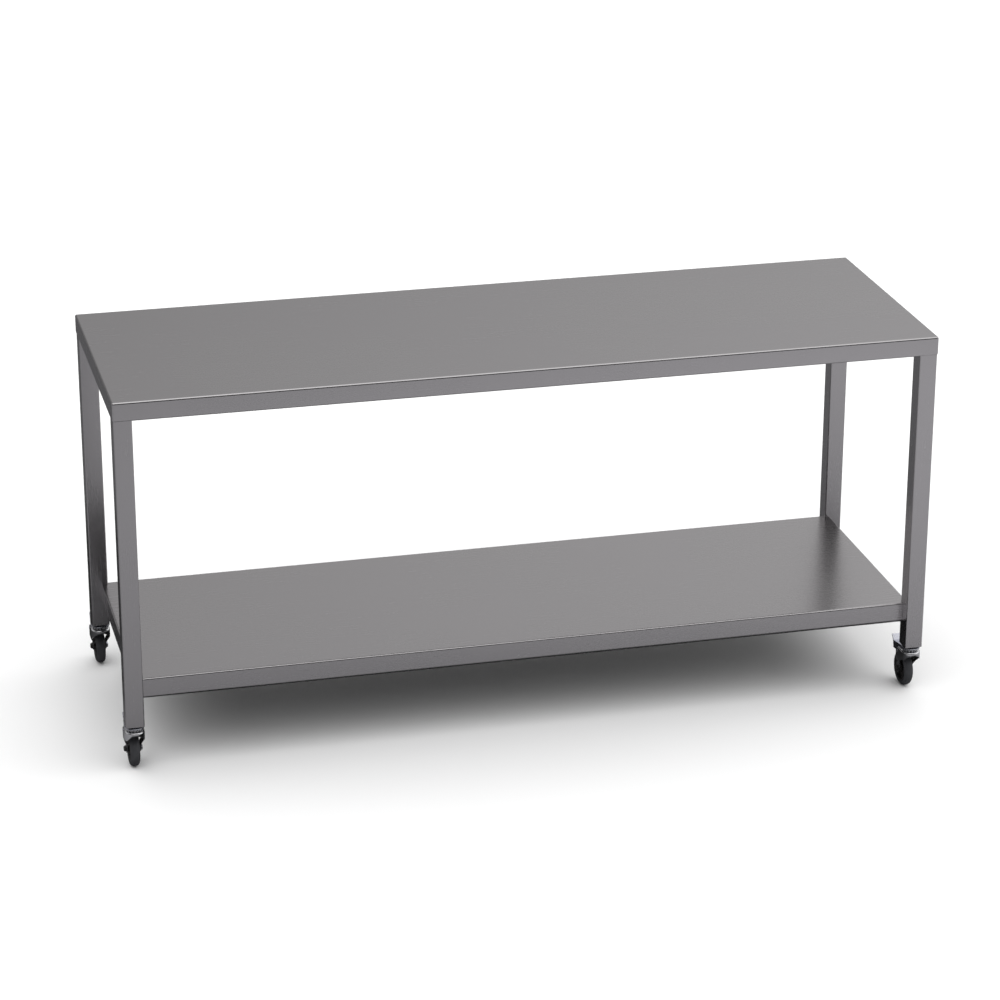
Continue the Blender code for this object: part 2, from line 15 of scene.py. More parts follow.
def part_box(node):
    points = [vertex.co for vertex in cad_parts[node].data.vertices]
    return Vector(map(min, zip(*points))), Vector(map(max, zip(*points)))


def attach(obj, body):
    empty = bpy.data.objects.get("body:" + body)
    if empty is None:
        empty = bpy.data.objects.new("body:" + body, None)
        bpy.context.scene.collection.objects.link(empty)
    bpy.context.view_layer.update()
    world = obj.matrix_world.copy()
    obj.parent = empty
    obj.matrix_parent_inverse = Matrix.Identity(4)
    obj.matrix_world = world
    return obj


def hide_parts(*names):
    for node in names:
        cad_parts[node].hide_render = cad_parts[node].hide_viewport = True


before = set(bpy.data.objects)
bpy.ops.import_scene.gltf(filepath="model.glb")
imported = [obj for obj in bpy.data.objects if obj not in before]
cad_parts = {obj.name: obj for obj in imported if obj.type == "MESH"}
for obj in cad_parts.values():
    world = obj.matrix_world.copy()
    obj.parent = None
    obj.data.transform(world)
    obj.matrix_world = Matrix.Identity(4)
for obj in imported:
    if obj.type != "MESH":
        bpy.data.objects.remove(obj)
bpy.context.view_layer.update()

# ---------------------------------------------------------------- places taken from the frame
CORNERS = ("front_left", "front_right", "rear_left", "rear_right")
TOP_LOW, TOP_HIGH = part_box("worktop")
SHELF_LOW, SHELF_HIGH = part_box("undershelf")
LEGS = {corner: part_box("leg_" + corner) for corner in CORNERS}
POSTS = {corner: (low + high) / 2 for corner, (low, high) in LEGS.items()}
LEG_LOW, LEG_HIGH = LEGS["front_left"]
LEG_WIDTH = LEG_HIGH.x - LEG_LOW.x
LEG_BOTTOM = LEG_LOW.z


def caster_box(node):
    """Lowest and highest corner of a caster's node, in the caster's own frame."""
    low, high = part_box(node + "_front_left")
    post = Vector((POSTS["front_left"].x, POSTS["front_left"].y, 0.0))
    return low - post, high - post


TYRE_LOW, TYRE_HIGH = caster_box("tyre")
AXLE = (TYRE_LOW + TYRE_HIGH) / 2
WHEEL_RADIUS = AXLE.z
PIN_LOW, PIN_HIGH = caster_box("brake_pin")
PIN = (PIN_LOW + PIN_HIGH) / 2
FORK_LOW, FORK_HIGH = caster_box("fork")
RACE_LOW, RACE_HIGH = caster_box("ball_race")
STEM_LOW, STEM_HIGH = caster_box("caster_stem")

# ---------------------------------------------------------------- sizes of the visible detail
SHARP_ANGLE = 35.0              # degrees; flatter edges are shaded smooth
GAP = 0.0003                    # clearance between pieces that rest on each other
HOLE_CLEARANCE = 0.0005         # round holes over their pins
BEND_SEGMENTS = 6

SHEET = 0.0012
BEND_RADIUS = 0.0042
TOP_LIP = 0.012
SHELF_LIP = 0.015
SHELF_LOWER_BEND = 0.0070
NOTCH_GAP = 0.00025
LEG_WALL = 0.0015
LEG_CORNER = 0.0028
TOP_GAP = 0.0009                # dark line between the legs and the worktop

STEM_RADIUS = 0.0058
NECK_RADIUS = 0.0105
CAP_THICKNESS = 0.0028
CAP_RIM = 0.0011
CAP_BOSS_RADIUS = 0.0100        # boss under the raceway cap
KINGPIN_RADIUS = 0.0050
RIVET_RADIUS = 0.0080           # head of the kingpin under the fork
CAGE_INSIDE = 0.0108

FORK_SHEET = 0.0020
FORK_FOOT_HALF_WIDTH = 0.0154
FORK_JOGGLE_TOP = 0.070         # where the side walls start to step inwards
FORK_JOGGLE_BOTTOM = 0.053
FORK_JOGGLE_STEPS = 8
FORK_CORNER = 0.0205
FORK_CROWN_RADIUS = 0.0035
FORK_CHEEK_FRONT = 0.0790       # lowest point of the fork's front, at the ends of the arch
FORK_EYE = 0.0095               # radius of the foot round the axle
ARCH_RADIUS = 0.0194
ARCH_TOP = 0.0912

TYRE_SHOULDER = 0.0085
TYRE_DEPTH = 0.0095
SPOKES = 5
AXLE_RADIUS = 0.0040
PIN_RADIUS = 0.0025


# ---------------------------------------------------------------- material nodes
def add_node(tree, kind, inputs=None, **settings):
    """A node with its settings, and its inputs either linked or set."""
    node = tree.nodes.new(kind)
    for key, value in settings.items():
        setattr(node, key, value)
    for key, value in (inputs or {}).items():
        if isinstance(value, bpy.types.NodeSocket):
            tree.links.new(value, node.inputs[key])
        else:
            node.inputs[key].default_value = value
    return node


def new_material(name, metallic):
    material = bpy.data.materials.new(name)
    material.use_nodes = True
    tree = material.node_tree
    shader = tree.nodes["Principled BSDF"]
    shader.inputs["Metallic"].default_value = metallic
    return material, tree, shader


def stretched(tree, source, scale):
    """Texture coordinates scaled by a different factor along each axis."""
    return add_node(tree, "ShaderNodeVectorMath", {0: source, 1: scale}, operation="MULTIPLY").outputs[0]


def noise(tree, vector, scale, detail, roughness):
    settings = {"Vector": vector, "Scale": scale, "Detail": detail, "Roughness": roughness}
    return add_node(tree, "ShaderNodeTexNoise", settings).outputs["Fac"]


def remap(tree, value, low, high, start=0.3, end=0.7):
    """The value's range from start to end, spread over low to high."""
    settings = {"Value": value, "From Min": start, "From Max": end, "To Min": low, "To Max": high}
    return add_node(tree, "ShaderNodeMapRange", settings).outputs["Result"]


def math_node(tree, operation, first, second):
    return add_node(tree, "ShaderNodeMath", {0: first, 1: second}, operation=operation).outputs[0]


def color_between(tree, factor, first, second):
    mix = add_node(tree, "ShaderNodeMix", {"Factor": factor}, data_type="RGBA")
    ends = [socket for socket in mix.inputs if socket.type == "RGBA"]
    ends[0].default_value = (*first, 1.0)
    ends[1].default_value = (*second, 1.0)
    return next(socket for socket in mix.outputs if socket.type == "RGBA")


def bump(tree, shader, height, strength, distance):
    settings = {"Height": height, "Strength": strength, "Distance": distance}
    tree.links.new(add_node(tree, "ShaderNodeBump", settings).outputs["Normal"], shader.inputs["Normal"])


def make_brushed_steel(name, dark, light, roughness):
    """Satin sheet: fine scratches along the grain, faint smudges, a very slight unevenness."""
    material, tree, shader = new_material(name, 1.0)
    grain_map = add_node(tree, "ShaderNodeUVMap", uv_map="grain").outputs["UV"]
    place = add_node(tree, "ShaderNodeTexCoord").outputs["Object"]
    broad = noise(tree, stretched(tree, grain_map, (9.0, 420.0, 1.0)), 1.0, 4.0, 0.6)
    fine = noise(tree, stretched(tree, grain_map, (45.0, 2600.0, 1.0)), 1.0, 2.0, 0.6)
    smudge = noise(tree, place, 3.2, 5.0, 0.6)
    streaks = math_node(tree, "ADD", math_node(tree, "MULTIPLY", broad, 0.5),
                        math_node(tree, "MULTIPLY", fine, 0.5))
    tree.links.new(color_between(tree, remap(tree, streaks, 0.0, 1.0), dark, light),
                   shader.inputs["Base Color"])
    worn = math_node(tree, "ADD", remap(tree, smudge, -0.01, 0.015), remap(tree, streaks, -0.02, 0.02))
    tree.links.new(math_node(tree, "ADD", worn, roughness), shader.inputs["Roughness"])
    bump(tree, shader, streaks, 0.03, 0.0002)
    return material


def make_plated(name, dark, light, roughness, mottle_scale):
    """Bright plating over pressed steel: a faint mottle and orange-peel waviness."""
    material, tree, shader = new_material(name, 1.0)
    place = add_node(tree, "ShaderNodeTexCoord").outputs["Object"]
    mottle = noise(tree, place, mottle_scale, 4.0, 0.6)
    peel = noise(tree, place, 260.0, 2.0, 0.5)
    tree.links.new(color_between(tree, remap(tree, mottle, 0.0, 1.0), dark, light),
                   shader.inputs["Base Color"])
    tree.links.new(remap(tree, mottle, roughness * 0.75, roughness * 1.3), shader.inputs["Roughness"])
    bump(tree, shader, peel, 0.05, 0.0004)
    return material


def make_moulded(name, dark, light, roughness, grain_scale, bump_strength):
    """Rubber or plastic: a fine moulded grain, with dust and scuffs in large soft patches."""
    material, tree, shader = new_material(name, 0.0)
    place = add_node(tree, "ShaderNodeTexCoord").outputs["Object"]
    grain = noise(tree, place, grain_scale, 3.0, 0.6)
    scuffs = noise(tree, place, 55.0, 5.0, 0.65)
    tree.links.new(color_between(tree, remap(tree, scuffs, 0.0, 1.0), dark, light),
                   shader.inputs["Base Color"])
    tree.links.new(remap(tree, scuffs, roughness - 0.08, roughness + 0.08), shader.inputs["Roughness"])
    bump(tree, shader, grain, bump_strength, 0.0002)
    return material


STAINLESS = make_brushed_steel("satin_stainless", (0.582, 0.564, 0.574), (0.612, 0.593, 0.603), 0.26)
MILL_STEEL = make_brushed_steel("mill_steel", (0.40, 0.40, 0.41), (0.50, 0.50, 0.51), 0.40)
CHROME = make_plated("bright_chrome", (0.85, 0.85, 0.87), (0.94, 0.94, 0.96), 0.12, 40.0)
ZINC = make_plated("blue_zinc", (0.56, 0.57, 0.63), (0.70, 0.71, 0.77), 0.26, 180.0)
BALL_STEEL = make_plated("ball_steel", (0.60, 0.60, 0.61), (0.70, 0.70, 0.71), 0.12, 60.0)
RUBBER = make_moulded("tyre_rubber", (0.030, 0.031, 0.035), (0.046, 0.047, 0.052), 0.58, 900.0, 0.25)
BLACK_PLASTIC = make_moulded("black_plastic", (0.013, 0.012, 0.012), (0.024, 0.023, 0.022), 0.36,
                             1400.0, 0.12)
GREY_PLASTIC = make_moulded("grey_plastic", (0.080, 0.080, 0.086), (0.120, 0.120, 0.126), 0.50, 1100.0, 0.20)


# ---------------------------------------------------------------- mesh helpers
def add_grain_map(mesh):
    """UVs in metres with the brushed grain along U: lengthwise on long faces, upright on ends."""
    layer = mesh.uv_layers.new(name="grain")
    upright = mesh.get("grain_upright", False)
    for polygon in mesh.polygons:
        normal = polygon.normal
        for loop in polygon.loop_indices:
            x, y, z = mesh.vertices[mesh.loops[loop].vertex_index].co
            if upright:
                layer.data[loop].uv = (z, x + y)
            elif abs(normal.x) > max(abs(normal.y), abs(normal.z)):
                layer.data[loop].uv = (z, y)
            else:
                layer.data[loop].uv = (x, y + z)


def add_piece(name, mesh, material, body, slot, *nodes):
    """A finished piece: smooth-shaded, riding on its body, standing for CAD nodes."""
    mesh.materials.clear()
    mesh.materials.append(material)
    mesh.shade_smooth()
    mesh.set_sharp_from_angle(angle=math.radians(SHARP_ANGLE))
    if "grain" not in mesh.uv_layers:
        add_grain_map(mesh)
    piece = bpy.data.objects.new(name, mesh)
    bpy.context.scene.collection.objects.link(piece)
    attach(piece, body)
    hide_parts(*nodes)
    return piece


def add_flat_piece(*arguments):
    """A finished piece whose large faces stay evenly lit right up to its narrow bends."""
    piece = add_piece(*arguments)
    modifier = piece.modifiers.new("even_faces", "WEIGHTED_NORMAL")
    modifier.mode = "FACE_AREA"
    modifier.keep_sharp = True


def to_mesh(shape, name):
    mesh = bpy.data.meshes.new(name)
    bmesh.ops.recalc_face_normals(shape, faces=shape.faces)
    shape.to_mesh(mesh)
    shape.free()
    return mesh


def from_mesh(*meshes):
    """One bmesh holding all the given meshes, which are then removed."""
    shape = bmesh.new()
    for mesh in meshes:
        shape.from_mesh(mesh)
        bpy.data.meshes.remove(mesh)
    return shape


def box_shape(low, high):
    low, high = Vector(low), Vector(high)
    shape = bmesh.new()
    bmesh.ops.create_cube(shape, size=1.0)
    bmesh.ops.scale(shape, vec=high - low, verts=shape.verts)
    bmesh.ops.translate(shape, vec=(high + low) / 2, verts=shape.verts)
    return shape


def rod_mesh(radius, low, high, segments, matrix=Matrix()):
    """A plain cylinder along Z, then moved by matrix."""
    shape = bmesh.new()
    middle = Matrix.Translation((0.0, 0.0, (low + high) / 2))
    bmesh.ops.create_cone(shape, cap_ends=True, segments=segments, radius1=radius,
                          radius2=radius, depth=high - low, matrix=matrix @ middle)
    return to_mesh(shape, "rod")


def arc(center, radius, start, end, steps):
    """Points on an arc from one angle to another, in degrees."""
    angles = [math.radians(start + (end - start) * i / steps) for i in range(steps + 1)]
    return [(center[0] + radius * math.cos(a), center[1] + radius * math.sin(a)) for a in angles]


def turned_mesh(profile, segments, matrix=Matrix()):
    """A closed (radius, height) profile turned about Z, then moved by matrix."""
    shape = bmesh.new()
    ring = [shape.verts.new((radius, 0.0, height)) for radius, height in profile]
    edges = [shape.edges.new(pair) for pair in zip(ring, ring[1:])]
    if profile[0][0] > 1e-9 or profile[-1][0] > 1e-9:
        edges.append(shape.edges.new((ring[-1], ring[0])))
    bmesh.ops.spin(shape, geom=ring + edges, cent=(0, 0, 0), axis=(0, 0, 1),
                   angle=2 * math.pi, steps=segments, use_merge=True)
    bmesh.ops.remove_doubles(shape, verts=shape.verts, dist=1e-7)
    bmesh.ops.transform(shape, matrix=matrix, verts=shape.verts)
    return to_mesh(shape, "turned")


def outline_mesh(points, thickness, matrix=Matrix()):
    """A flat outline in XY with a thickness along Z, then moved by matrix."""
    shape = bmesh.new()
    face = shape.faces.new([shape.verts.new((x, y, -thickness / 2)) for x, y in points])
    raised = bmesh.ops.extrude_face_region(shape, geom=[face], use_keep_orig=True)
    lifted = [item for item in raised["geom"] if isinstance(item, bmesh.types.BMVert)]
    bmesh.ops.translate(shape, vec=(0.0, 0.0, thickness), verts=lifted)
    bmesh.ops.transform(shape, matrix=matrix, verts=shape.verts)
    return to_mesh(shape, "outline")


SIDE_VIEW = Matrix(((0, 0, 1, 0), (1, 0, 0, 0), (0, 1, 0, 0), (0, 0, 0, 1)))    # outline XY to YZ
FRONT_VIEW = Matrix(((1, 0, 0, 0), (0, 0, 1, 0), (0, 1, 0, 0), (0, 0, 0, 1)))   # outline XY to XZ
ACROSS = Matrix.Rotation(math.radians(90), 4, "Y")                              # Z to X


def carved(mesh, steps):
    """The mesh after a row of modifiers: ("solidify", thickness), ("bevel", width, segments),
    or ("cut" or "keep", other mesh)."""
    carrier = bpy.data.objects.new("carrier", mesh)
    bpy.context.scene.collection.objects.link(carrier)
    helpers = [carrier]
    for kind, value, *more in steps:
        if kind == "solidify":
            modifier = carrier.modifiers.new(kind, "SOLIDIFY")
            modifier.thickness = value
            modifier.offset = -1.0
            modifier.use_even_offset = True
        elif kind == "bevel":
            modifier = carrier.modifiers.new(kind, "BEVEL")
            modifier.width = value
            modifier.segments = more[0]
            modifier.limit_method = "ANGLE"
            modifier.angle_limit = math.radians(40)
            modifier.use_clamp_overlap = True
        else:
            tool = bpy.data.objects.new("tool", value)
            bpy.context.scene.collection.objects.link(tool)
            helpers.append(tool)
            modifier = carrier.modifiers.new(kind, "BOOLEAN")
            modifier.object = tool
            modifier.solver = "EXACT"
            modifier.operation = {"cut": "DIFFERENCE", "keep": "INTERSECT"}[kind]
    bpy.context.view_layer.update()
    evaluated = carrier.evaluated_get(bpy.context.evaluated_depsgraph_get())
    result = bpy.data.meshes.new_from_object(evaluated)
    for helper in helpers:
        bpy.data.objects.remove(helper, do_unlink=True)
    return result


def rounded_copy(node, width):
    """A copy of a CAD node's mesh with its sharp edges rounded."""
    shape = bmesh.new()
    shape.from_mesh(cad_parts[node].data)
    bmesh.ops.remove_doubles(shape, verts=shape.verts, dist=1e-6)
    bmesh.ops.dissolve_limit(shape, angle_limit=math.radians(1), verts=shape.verts, edges=shape.edges)
    return carved(to_mesh(shape, node), [("bevel", width, 2)])


def is_upright(edge):
    rise = edge.verts[0].co - edge.verts[1].co
    return abs(rise.z) > 0.9 * rise.length


# ---------------------------------------------------------------- sheets, legs and what is under them
def tighten_top_bends(shape, low, high, radius, new_radius):
    """Pull the upper bends of a folded box from one radius to a smaller one."""
    for vert in shape.verts:
        if vert.co.z < high.z - radius - 1e-6:
            continue
        for axis, side in ((0, low.x), (0, high.x), (1, low.y), (1, high.y), (2, high.z)):
            depth = vert.co[axis] - side
            if abs(depth) < radius + 1e-6:
                vert.co[axis] = side + depth * new_radius / radius


def pan_mesh(low, high, lip, lower_bend, notch_low, notch_high):
    """A folded pan: a top, four turned-down edges and a return lip, notched round the legs."""
    shape = box_shape(low, high)
    floor = [face for face in shape.faces if face.normal.z < -0.9]
    folds = list(shape.edges)
    bmesh.ops.inset_region(shape, faces=floor, thickness=lip, use_even_offset=True)
    bmesh.ops.delete(shape, geom=floor, context="FACES")
    bmesh.ops.bevel(shape, geom=folds, offset=lower_bend, segments=BEND_SEGMENTS, profile=0.5,
                    affect="EDGES")
    tighten_top_bends(shape, low, high, lower_bend, BEND_RADIUS)
    notches = bmesh.new()
    reach = LEG_WIDTH / 2 + NOTCH_GAP
    for post in POSTS.values():
        corner = box_shape((post.x - reach, post.y - reach, notch_low),
                           (post.x + reach, post.y + reach, notch_high))
        notches = from_mesh(to_mesh(notches, "notches"), to_mesh(corner, "corner"))
    steps = [("solidify", SHEET), ("cut", to_mesh(notches, "notches"))]
    return carved(to_mesh(shape, "pan"), steps)


def add_sheets():
    worktop = pan_mesh(TOP_LOW, TOP_HIGH, TOP_LIP, BEND_RADIUS,
                       TOP_LOW.z - 0.002, TOP_LOW.z + 0.006)
    add_flat_piece("worktop_sheet", worktop, STAINLESS, "table", "stainless", "worktop")
    shelf = pan_mesh(SHELF_LOW, SHELF_HIGH, SHELF_LIP, SHELF_LOWER_BEND,
                     SHELF_LOW.z - 0.01, SHELF_HIGH.z + 0.01)
    add_flat_piece("shelf_sheet", shelf, STAINLESS, "table", "stainless", "undershelf")


def add_legs():
    for corner, (low, high) in LEGS.items():
        shape = box_shape(low, high - Vector((0.0, 0.0, TOP_GAP)))
        upright = [edge for edge in shape.edges if is_upright(edge)]
        bmesh.ops.bevel(shape, geom=upright, offset=LEG_CORNER, segments=BEND_SEGMENTS, profile=0.5,
                        affect="EDGES")
        ends = [face for face in shape.faces if abs(face.normal.z) > 0.9]
        bmesh.ops.delete(shape, geom=ends, context="FACES")
        mesh = carved(to_mesh(shape, "leg"), [("solidify", LEG_WALL)])
        mesh["grain_upright"] = True
        add_flat_piece("leg_tube_" + corner, mesh, STAINLESS, "table", "stainless", "leg_" + corner)


def add_supports():
    for node in ("top_channel_front", "top_channel_rear", "shelf_channel"):
        add_flat_piece(node + "_folded", rounded_copy(node, 0.0005), STAINLESS, "table", "stainless", node)
    for corner in CORNERS:
        gusset = "corner_gusset_" + corner
        add_flat_piece(gusset + "_plate", rounded_copy(gusset, 0.0004), MILL_STEEL, "table", "steel", gusset)
        insert = "leg_insert_" + corner
        plug = rounded_copy(insert, 0.0003)
        add_flat_piece(insert + "_plug", plug, GREY_PLASTIC, "table", "grey_plastic", insert)


# ---------------------------------------------------------------- caster pieces, in the caster's frame
def stem_mesh():
    """Stem, neck, pressed raceway cap and riveted kingpin."""
    side, top = STEM_HIGH.x, STEM_HIGH.z
    cap_low = RACE_HIGH.z + GAP
    cap_high = cap_low + CAP_THICKNESS
    neck_top, neck_low = LEG_BOTTOM - GAP, cap_high + 0.0006
    boss_low = FORK_HIGH.z + GAP
    rivet = FORK_HIGH.z - FORK_SHEET - GAP
    profile = (
        [(0.0, top), (STEM_RADIUS - 0.0012, top), (STEM_RADIUS, top - 0.0012), (STEM_RADIUS, neck_top)]
        + [(NECK_RADIUS, neck_top), (NECK_RADIUS, neck_low)]
        + arc((NECK_RADIUS + 0.0006, neck_low), 0.0006, 180, 270, 3)
        + arc((side - CAP_RIM, cap_high - CAP_RIM), CAP_RIM, 90, 0, 5)
        + arc((side - 0.0006, cap_low + 0.0006), 0.0006, 0, -90, 3)
        + [(0.0168, cap_low), (0.0160, cap_low + 0.0006), (0.0112, cap_low + 0.0006)]
        + [(CAP_BOSS_RADIUS, cap_low), (CAP_BOSS_RADIUS, boss_low)]
        + [(KINGPIN_RADIUS, boss_low), (KINGPIN_RADIUS, rivet), (RIVET_RADIUS - 0.0004, rivet)]
        + [(RIVET_RADIUS, rivet - 0.0004), (RIVET_RADIUS, rivet - 0.0010)]
        + arc((RIVET_RADIUS - 0.0030, rivet - 0.0010), 0.0030, 0, -60, 4)
        + [(0.0, rivet - 0.0042)]
    )
    return turned_mesh(profile, 64)


def ball_race_meshes():
    """A thin cage ring and the balls it holds."""
    middle = (RACE_LOW.z + RACE_HIGH.z) / 2
    ball = (RACE_HIGH.z - RACE_LOW.z) / 2 - 0.0001
    pitch = RACE_HIGH.x - ball - 0.0004
    cage_outside = pitch - ball * 0.4
    cage = [(CAGE_INSIDE, middle - 0.0008), (cage_outside, middle - 0.0008)]
    cage += [(cage_outside, middle + 0.0008), (CAGE_INSIDE, middle + 0.0008)]
    balls = bmesh.new()
    count = int(2 * math.pi * pitch / (2 * ball + 0.0003))
    for index in range(count):
        turn = Matrix.Rotation(2 * math.pi * index / count, 4, "Z")
        place = turn @ Matrix.Translation((pitch, 0.0, middle))
        bmesh.ops.create_uvsphere(balls, u_segments=14, v_segments=9, radius=ball, matrix=place)
    return turned_mesh(cage, 64), to_mesh(balls, "balls")


def smoothstep(value):
    value = min(1.0, max(0.0, value))
    return value * value * (3 - 2 * value)


def fork_mesh():
    """Pressed fork: crown, rounded front with an arch over the wheel, joggled side walls."""
    half_width, front, top = FORK_HIGH.x, FORK_LOW.y, FORK_HIGH.z
    rear, bottom = FORK_HIGH.y + 0.006, FORK_LOW.z - 0.004
    shape = box_shape((-half_width, front, bottom), (half_width, rear, top))
    front_edges = [edge for edge in shape.edges if is_upright(edge) and edge.verts[0].co.y < 0]
    bmesh.ops.bevel(shape, geom=front_edges, offset=FORK_CORNER, segments=16, profile=0.5, affect="EDGES")
    crown_edges = [edge for edge in shape.edges
                   if all(vert.co.z > top - 1e-5 for vert in edge.verts)
                   and any(vert.co.y < rear - 1e-5 for vert in edge.verts)]
    bmesh.ops.bevel(shape, geom=crown_edges, offset=FORK_CROWN_RADIUS, segments=6, profile=0.5,
                    affect="EDGES")
    open_faces = [face for face in shape.faces if face.normal.z < -0.9 or face.normal.y > 0.9]
    bmesh.ops.delete(shape, geom=open_faces, context="FACES")
    drop = FORK_JOGGLE_TOP - FORK_JOGGLE_BOTTOM
    for step in range(FORK_JOGGLE_STEPS + 1):
        height = FORK_JOGGLE_BOTTOM + drop * step / FORK_JOGGLE_STEPS
        bmesh.ops.bisect_plane(shape, geom=shape.verts[:] + shape.edges[:] + shape.faces[:],
                               plane_co=(0, 0, height), plane_no=(0, 0, 1))
    for vert in shape.verts:
        share = smoothstep((FORK_JOGGLE_TOP - vert.co.z) / drop)
        vert.co.x *= 1 + (FORK_FOOT_HALF_WIDTH / half_width - 1) * share
    side = ([(0.0190, top + 0.002), (front - 0.002, top + 0.002)]
            + [(front - 0.002, FORK_CHEEK_FRONT), (-0.0110, FORK_CHEEK_FRONT), (-0.0040, 0.0775)]
            + [(0.0, 0.0750), (0.0110, 0.0654)] + arc((AXLE.y, AXLE.z), FORK_EYE, 190, 350, 28)
            + [(0.0330, 0.0680), (0.0320, 0.0915), (0.0290, 0.0945)])
    arch = arc((0.0, ARCH_TOP - ARCH_RADIUS), ARCH_RADIUS, 0, 360, 64)[:-1]
    steps = [
        ("solidify", FORK_SHEET),
        ("keep", outline_mesh(side, 0.06, SIDE_VIEW)),
        ("cut", outline_mesh(arch, 0.026, Matrix.Translation((0.0, -0.015, 0.0)) @ FRONT_VIEW)),
        ("cut", to_mesh(box_shape((-0.0165, 0.0185, 0.0905), (0.0165, 0.0600, 0.1050)), "slot")),
        ("cut", rod_mesh(KINGPIN_RADIUS + HOLE_CLEARANCE, 0.09, 0.11, 32)),
        ("cut", rod_mesh(AXLE_RADIUS + HOLE_CLEARANCE, -0.03, 0.03, 32, Matrix.Translation(AXLE) @ ACROSS)),
        ("cut", rod_mesh(PIN_RADIUS + HOLE_CLEARANCE, -0.03, 0.03, 24, Matrix.Translation(PIN) @ ACROSS)),
        ("bevel", 0.0004, 2),
    ]
    return carved(to_mesh(shape, "fork"), steps)


def tyre_mesh():
    """Solid tyre with a slightly crowned tread, round shoulders and a fine ring on each side."""
    side, shoulder = TYRE_HIGH.x, TYRE_SHOULDER
    bead = WHEEL_RADIUS - TYRE_DEPTH
    tread = [(WHEEL_RADIUS, 0.0), (WHEEL_RADIUS - 0.00005, 0.0012)]
    round_part = arc((WHEEL_RADIUS - 0.0001 - shoulder, side - shoulder), shoulder, 2, 76, 12)
    ring = WHEEL_RADIUS - 0.0076
    wall = [(ring + 0.0005, side - 0.00005), (ring + 0.0003, side - 0.0004), (ring - 0.0003, side - 0.0004),
            (ring - 0.0005, side - 0.00005), (bead + 0.0012, side - 0.0006), (bead, side - 0.0014)]
    half = tread + round_part + wall
    lower = [(radius, -height) for radius, height in reversed(half)]
    profile = lower[:-1] + half
    return turned_mesh(profile, 96, ACROSS)


def hub_mesh():
    """Moulded hub: rim, boss and five spokes with windows between them."""
    bore, boss, web, rim_inside = AXLE_RADIUS + HOLE_CLEARANCE, 0.0085, 0.0028, 0.0262
    rim_outside = WHEEL_RADIUS - TYRE_DEPTH - 0.0002
    half, boss_half = 0.0090, 0.0128
    upper = [(bore, boss_half - 0.0004), (bore + 0.0004, boss_half), (boss - 0.0006, boss_half),
             (boss, boss_half - 0.0006), (boss + 0.0004, web + 0.0010), (boss + 0.0016, web),
             (rim_inside - 0.0012, web), (rim_inside, web + 0.0012), (rim_inside + 0.0006, half - 0.0006),
             (rim_inside + 0.0012, half), (rim_outside, half)]
    lower = [(radius, -height) for radius, height in reversed(upper)]
    window = arc((0.0, 0.0), 0.0240, -24, 24, 12) + arc((0.0, 0.0), 0.0122, 17, -17, 6)
    steps = []
    for index in range(SPOKES):
        turn = Matrix.Rotation(2 * math.pi * index / SPOKES, 4, "Z")
        steps.append(("cut", outline_mesh(window, 0.012, ACROSS @ turn)))
    steps.append(("bevel", 0.0003, 2))
    return carved(turned_mesh(upper + lower, 96, ACROSS), steps)


def spoke_rib_mesh():
    """A raised rib along the middle of each spoke, on both sides of the web."""
    shape = bmesh.new()
    for index in range(SPOKES):
        turn = ACROSS @ Matrix.Rotation(2 * math.pi * (index + 0.5) / SPOKES, 4, "Z")
        rib = box_shape((0.0080, -0.0009, -0.0075), (0.0264, 0.0009, 0.0075))
        bmesh.ops.transform(rib, matrix=turn, verts=rib.verts)
        shape = from_mesh(to_mesh(shape, "ribs"), to_mesh(rib, "rib"))
    return carved(to_mesh(shape, "ribs"), [("bevel", 0.0004, 2)])


def hexagon(across_flats):
    """A hexagon's corners, with a flat facing up."""
    radius = across_flats / math.sqrt(3)
    return [(radius * math.cos(math.radians(60 * i)), radius * math.sin(math.radians(60 * i)))
            for i in range(6)]


def axle_bolt_mesh():
    """Bolt with a washer and a hexagon head on the right, and its plain end on the left."""
    foot = FORK_FOOT_HALF_WIDTH + 0.0002
    end, washer, thickness = -foot - 0.0030, 0.0076, 0.0010
    shank = [(0.0, end), (AXLE_RADIUS - 0.0006, end), (AXLE_RADIUS, end + 0.0006), (AXLE_RADIUS, foot),
             (washer - 0.0004, foot), (washer, foot + 0.0003), (washer, foot + thickness - 0.0003),
             (washer - 0.0004, foot + thickness), (0.0, foot + thickness)]
    head = outline_mesh(hexagon(0.0118), 0.0030, Matrix.Translation((0, 0, foot + 0.0025)))
    chamfer = turned_mesh([(0.0, foot), (0.0080, foot), (0.0080, foot + 0.0030), (0.0057, foot + 0.0040),
                           (0.0, foot + 0.0040)], 48)
    head = carved(head, [("keep", chamfer), ("bevel", 0.0002, 2)])
    mesh = to_mesh(from_mesh(turned_mesh(shank, 40), head), "axle_bolt")
    mesh.transform(Matrix.Translation(AXLE) @ ACROSS)
    return mesh


def axle_cap_mesh():
    """Black cap nut: a hexagon foot with a domed cover."""
    foot = FORK_FOOT_HALF_WIDTH + 0.0003
    skirt = outline_mesh(hexagon(0.0130), 0.0026, Matrix.Translation((0, 0, foot + 0.0013)))
    skirt = carved(skirt, [("bevel", 0.0004, 3)])
    dome = [(0.0, foot + 0.0022), (0.0058, foot + 0.0022), (0.0058, foot + 0.0030)]
    dome += arc((0.0038, foot + 0.0030), 0.0020, 0, 78, 7) + [(0.0, foot + 0.0052)]
    mesh = to_mesh(from_mesh(skirt, turned_mesh(dome, 48)), "axle_cap")
    mesh.transform(Matrix.Translation(AXLE) @ Matrix.Rotation(math.radians(-90), 4, "Y"))
    return mesh


